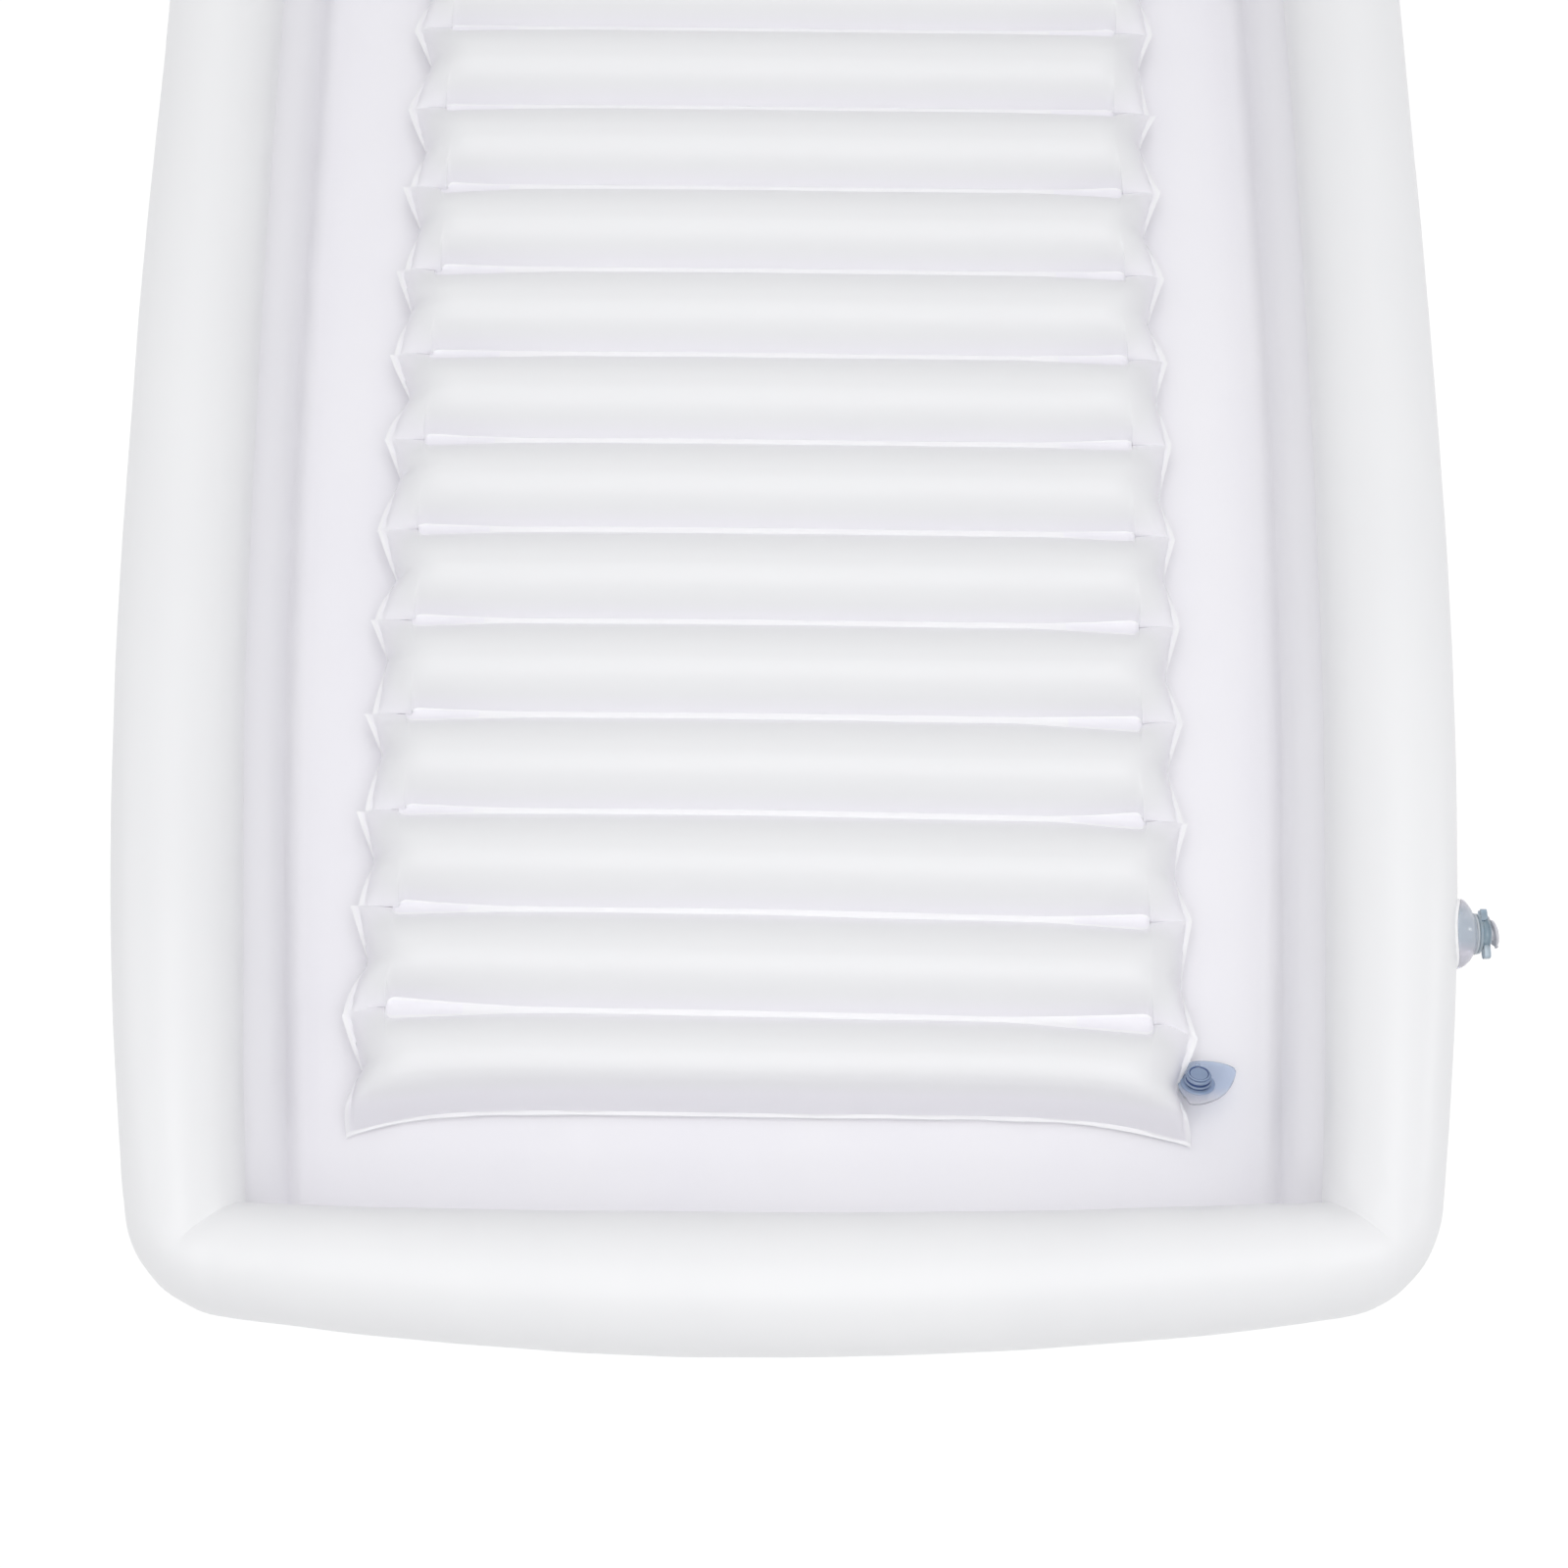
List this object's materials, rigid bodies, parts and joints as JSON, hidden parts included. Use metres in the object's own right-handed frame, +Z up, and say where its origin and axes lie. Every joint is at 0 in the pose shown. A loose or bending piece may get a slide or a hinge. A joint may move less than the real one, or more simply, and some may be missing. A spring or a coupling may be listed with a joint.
{
  "type": "inflatable bathtub",
  "caption": "Long soft-walled inflatable bathtub: two stacked air rings on a floor sheet, with screw air valves, a loose ribbed air mat inside and a floor drain.",
  "frame": {"origin": "on the ground under the middle of the tub", "axes": "+Y along the tub towards its head end with the drain, +X towards the side with the air valves, +Z up"},
  "size_m": [1.0041, 2.1, 0.1973],
  "materials": {
    "wall_film": "satin",
    "wall_weld": "satin",
    "floor_film": "satin",
    "mat_film": "satin",
    "mat_valve_vinyl": "gloss",
    "valve_plastic": "gloss",
    "seal_rubber": "matt"
  },
  "bodies": {
    "tub": {"upper_ring": "wall_film", "lower_ring": "wall_film", "ring_web": "wall_weld", "floor_sheet": "floor_film", "upper_valve_patch": "wall_weld", "upper_valve_base": "valve_plastic", "lower_valve_patch": "wall_weld", "lower_valve_base": "valve_plastic", "drain_seat": "wall_weld"},
    "upper_valve_seal": {"upper_valve_seal": "seal_rubber"},
    "upper_valve_insert": {"upper_valve_insert": "valve_plastic"},
    "upper_valve_flap": {"upper_valve_flap": "seal_rubber"},
    "upper_valve_cap": {"upper_valve_cap": "valve_plastic", "upper_valve_strap": "valve_plastic"},
    "lower_valve_seal": {"lower_valve_seal": "seal_rubber"},
    "lower_valve_insert": {"lower_valve_insert": "valve_plastic"},
    "lower_valve_flap": {"lower_valve_flap": "seal_rubber"},
    "lower_valve_cap": {"lower_valve_cap": "valve_plastic", "lower_valve_strap": "valve_plastic"},
    "mattress": {"mattress_upper_skin": "mat_film", "mattress_lower_skin": "mat_film", "mattress_valve_tab": "mat_valve_vinyl", "mattress_valve_stem": "mat_valve_vinyl"},
    "mattress_plug": {"mattress_valve_plug": "mat_valve_vinyl", "mattress_valve_strap": "mat_valve_vinyl"},
    "drain_plug": {"drain_plug": "valve_plastic"}
  },
  "joints": [
    {"name": "upper_valve_lift", "type": "slide", "parent": "tub", "child": "upper_valve_seal", "axis": [1, 0, 0], "range_m": [0, 0.009]},
    {"name": "upper_valve_screw", "type": "hinge", "parent": "upper_valve_seal", "child": "upper_valve_insert", "pos_m": [0.4738, -0.756, 0.14731], "axis": [1, 0, 0], "range_deg": [0, 1080]},
    {"name": "upper_valve_flap_travel", "type": "slide", "parent": "upper_valve_insert", "child": "upper_valve_flap", "axis": [-1, 0, 0], "range_m": [0, 0.003]},
    {"name": "upper_valve_cap_hinge", "type": "hinge", "parent": "upper_valve_insert", "child": "upper_valve_cap", "pos_m": [0.4982, -0.7415, 0.14731], "axis": [0, 0, 1], "range_deg": [-10, 100]},
    {"name": "lower_valve_lift", "type": "slide", "parent": "tub", "child": "lower_valve_seal", "axis": [1, 0, 0], "range_m": [0, 0.009]},
    {"name": "lower_valve_screw", "type": "hinge", "parent": "lower_valve_seal", "child": "lower_valve_insert", "pos_m": [0.4628, -0.756, 0.04937], "axis": [1, 0, 0], "range_deg": [0, 1080]},
    {"name": "lower_valve_flap_travel", "type": "slide", "parent": "lower_valve_insert", "child": "lower_valve_flap", "axis": [-1, 0, 0], "range_m": [0, 0.003]},
    {"name": "lower_valve_cap_hinge", "type": "hinge", "parent": "lower_valve_insert", "child": "lower_valve_cap", "pos_m": [0.4872, -0.7415, 0.04937], "axis": [0, 0, 1], "range_deg": [-10, 100]},
    {"name": "mattress_lift_out", "type": "slide", "parent": "tub", "child": "mattress", "axis": [0, 0, 1], "range_m": [0, 0.25]},
    {"name": "mattress_plug_hinge", "type": "hinge", "parent": "mattress", "child": "mattress_plug", "pos_m": [0.30845, -0.82505, 0.0316], "axis": [-0.9999, 0.0122, 0], "range_deg": [0, 120]},
    {"name": "drain_plug_lift", "type": "slide", "parent": "tub", "child": "drain_plug", "axis": [0, 0, 1], "range_m": [0, 0.04]}
  ],
  "couplings": [
    {"joint": "upper_valve_screw", "follows": "upper_valve_lift", "rad_per_m": 2094.2},
    {"joint": "lower_valve_screw", "follows": "lower_valve_lift", "rad_per_m": 2094.2}
  ]
}
